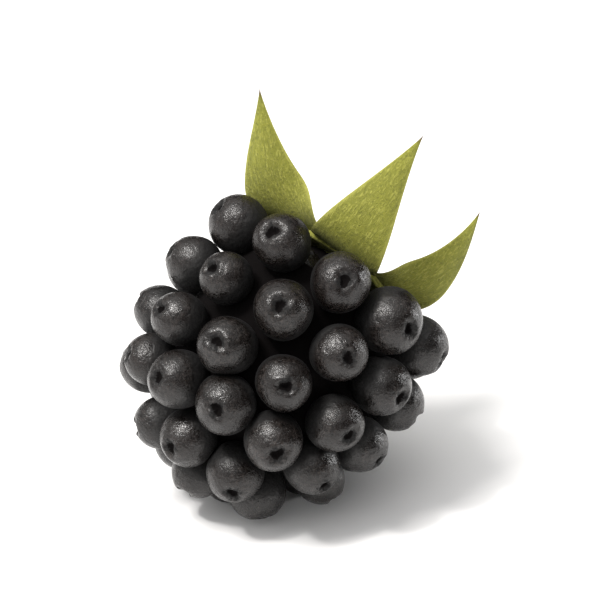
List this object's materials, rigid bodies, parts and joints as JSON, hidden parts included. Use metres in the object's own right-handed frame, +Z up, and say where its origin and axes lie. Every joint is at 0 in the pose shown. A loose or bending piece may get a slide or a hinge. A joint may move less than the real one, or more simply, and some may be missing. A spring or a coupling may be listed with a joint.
{
  "type": "bramble berry",
  "caption": "Picked bramble berry: a rounded cluster of near-black drupelets on one receptacle, with a spreading green calyx and a short cut stalk.",
  "frame": {"origin": "centre of the berry's box, on the surface that it rests on", "axes": "+Z up, -Y the front; the calyx end leans up towards +X and +Y"},
  "size_m": [0.0282, 0.028, 0.0314],
  "materials": {
    "drupelet_skin": "satin",
    "sepal_green": "matte",
    "stalk_green": "matte"
  },
  "bodies": {
    "root": {"fruit": "drupelet_skin", "calyx_base": "sepal_green", "sepal_1": "sepal_green", "sepal_2": "sepal_green", "sepal_3": "sepal_green", "sepal_4": "sepal_green", "sepal_5": "sepal_green", "pedicel_stub": "stalk_green"}
  },
  "joints": []
}
